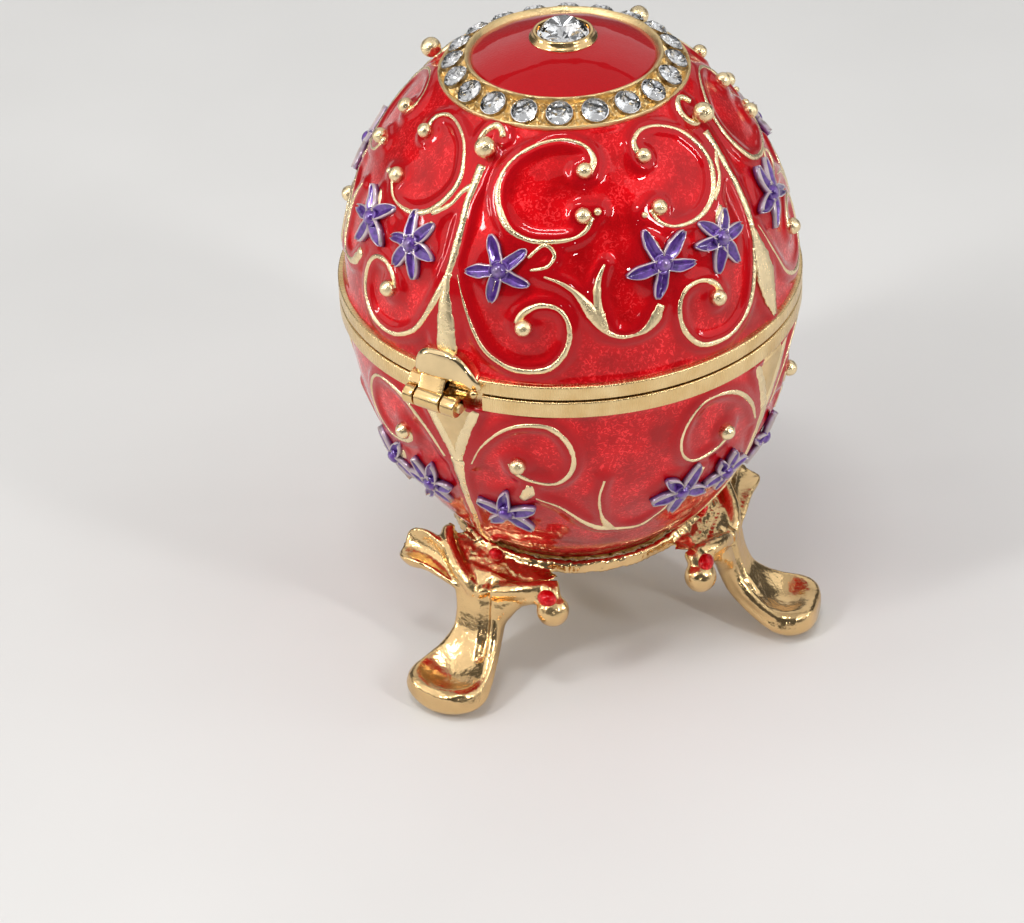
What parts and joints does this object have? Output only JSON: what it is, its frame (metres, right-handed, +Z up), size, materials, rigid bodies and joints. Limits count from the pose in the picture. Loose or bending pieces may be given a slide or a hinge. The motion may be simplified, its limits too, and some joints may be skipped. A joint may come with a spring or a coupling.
{
  "type": "jewelled egg trinket box",
  "caption": "Hollow hinged egg box with scroll and flower relief under glossy enamel, a ring of cut stones near the top and a stand of scroll feet.",
  "frame": {"origin": "on the surface it stands on, in the middle of the box around the whole piece", "axes": "+Z up, +Y towards the hinge"},
  "size_m": [0.0624, 0.0638, 0.0859],
  "materials": {
    "red_enamel": "deep translucent red enamel, high gloss",
    "violet_enamel": "pearly violet enamel, glossy",
    "polished_gold": "light champagne gold plating, polished",
    "clear_crystal": "clear cut stone, polished facets"
  },
  "bodies": {
    "base": {"bowl": "red_enamel", "stand": "polished_gold", "hinge_pin": "polished_gold"},
    "lid": {"lid": "red_enamel", "crown_crystal": "clear_crystal", "ring_crystal_01": "clear_crystal", "ring_crystal_02": "clear_crystal", "ring_crystal_03": "clear_crystal", "ring_crystal_04": "clear_crystal", "ring_crystal_05": "clear_crystal", "ring_crystal_06": "clear_crystal", "ring_crystal_07": "clear_crystal", "ring_crystal_08": "clear_crystal", "ring_crystal_09": "clear_crystal", "ring_crystal_10": "clear_crystal", "ring_crystal_11": "clear_crystal", "ring_crystal_12": "clear_crystal", "ring_crystal_13": "clear_crystal", "ring_crystal_14": "clear_crystal", "ring_crystal_15": "clear_crystal", "ring_crystal_16": "clear_crystal", "ring_crystal_17": "clear_crystal", "ring_crystal_18": "clear_crystal", "ring_crystal_19": "clear_crystal", "ring_crystal_20": "clear_crystal"}
  },
  "joints": [
    {"name": "lid_hinge", "type": "hinge", "parent": "base", "child": "lid", "pos_m": [0.00174, 0.02886, 0.0488], "axis": [-1, 0, 0], "range_deg": [0, 100]}
  ]
}
